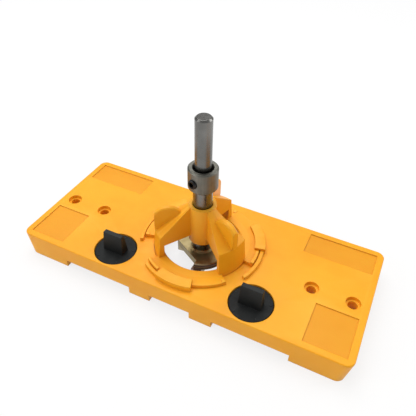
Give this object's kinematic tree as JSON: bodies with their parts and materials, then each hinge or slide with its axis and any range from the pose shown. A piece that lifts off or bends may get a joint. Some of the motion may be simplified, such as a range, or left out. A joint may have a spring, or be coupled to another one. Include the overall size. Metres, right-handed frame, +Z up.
{
  "type": "hinge boring jig",
  "caption": "Moulded plastic jig with a bayonet-mounted bit guide, a 35 mm hinge boring bit with stop collar, and dials that set the distance from the door's edge.",
  "frame": {"origin": "on the bore's axis, level with the feet along the plate's front edge", "axes": "+X along the plate's length, +Y away from the dials and the door's edge, +Z up the bit's shank"},
  "size_m": [0.2198, 0.09, 0.1106],
  "materials": {
    "yellow_plastic": "satin moulded",
    "bit_steel": "turned, dark coated head",
    "collar_steel": "turned",
    "set_screw_steel": "black oxide",
    "carbide": "ground carbide",
    "black_plastic": "satin moulded",
    "dial_screw_steel": "zinc plated"
  },
  "bodies": {
    "plate": {"jig_body": "yellow_plastic"},
    "guide": {"drill_guide": "yellow_plastic"},
    "collar": {"stop_collar": "collar_steel"},
    "set_screw": {"collar_set_screw": "set_screw_steel"},
    "bit": {"bit_body": "bit_steel", "cutting_tip_front": "carbide", "cutting_tip_back": "carbide", "spur_front": "carbide", "spur_back": "carbide"},
    "left_stop": {"left_dial": "black_plastic", "left_cam": "black_plastic", "left_dial_screw": "dial_screw_steel"},
    "right_stop": {"right_dial": "black_plastic", "right_cam": "black_plastic", "right_dial_screw": "dial_screw_steel"}
  },
  "joints": [
    {"name": "guide_twist", "type": "hinge", "parent": "plate", "child": "guide", "pos_m": [0, 0, 0.0171], "axis": [0, 0, 1], "range_deg": [-65, 2]},
    {"name": "plunge", "type": "slide", "parent": "guide", "child": "collar", "axis": [0, 0, 1], "range_m": [-0.012, 0.0069]},
    {"name": "bit_spin", "type": "hinge", "parent": "collar", "child": "bit", "pos_m": [0, 0, 0], "axis": [0, 0, 1], "continuous": true},
    {"name": "set_screw_turn", "type": "hinge", "parent": "collar", "child": "set_screw", "pos_m": [0, 0, 0.0709], "axis": [-0.2588, -0.9659, 0], "range_deg": [0, 360]},
    {"name": "left_dial_turn", "type": "hinge", "parent": "plate", "child": "left_stop", "pos_m": [-0.0467, -0.03, 0.017], "axis": [0, 0, 1], "continuous": true},
    {"name": "right_dial_turn", "type": "hinge", "parent": "plate", "child": "right_stop", "pos_m": [0.0467, -0.03, 0.017], "axis": [0, 0, 1], "continuous": true}
  ]
}
